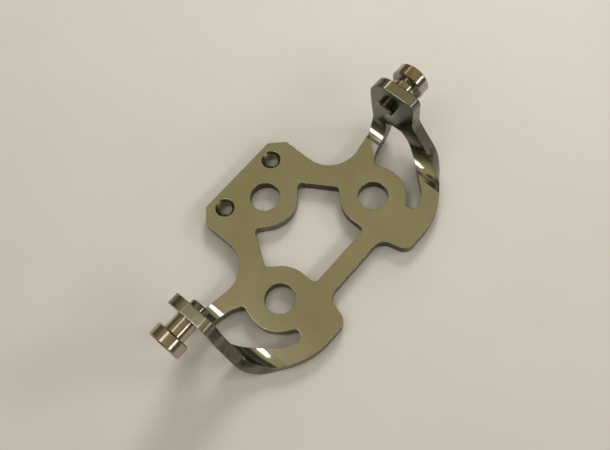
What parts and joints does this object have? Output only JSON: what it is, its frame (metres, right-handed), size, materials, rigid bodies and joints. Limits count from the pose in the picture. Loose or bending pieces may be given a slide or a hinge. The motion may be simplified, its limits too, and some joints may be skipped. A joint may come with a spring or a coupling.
{
  "type": "bent sheet steel bracket with headed side pins",
  "caption": "Flat steel plate with hub bores, threaded holes and bent-up arms that carry headed pins facing outwards.",
  "frame": {"origin": "underside plane of the plate, halfway between the two side hub bores", "axes": "+Z from the plate towards the raised pins, +Y towards the long straight edge, +X towards the right arm"},
  "size_m": [0.0762, 0.04, 0.0195],
  "materials": {
    "sheet_steel": "satin rolled face, dark cut edges, polished bends",
    "pin_steel": "fine turned, bright"
  },
  "bodies": {
    "root": {"bracket": "sheet_steel", "pin_left": "pin_steel", "pin_right": "pin_steel"}
  },
  "joints": []
}
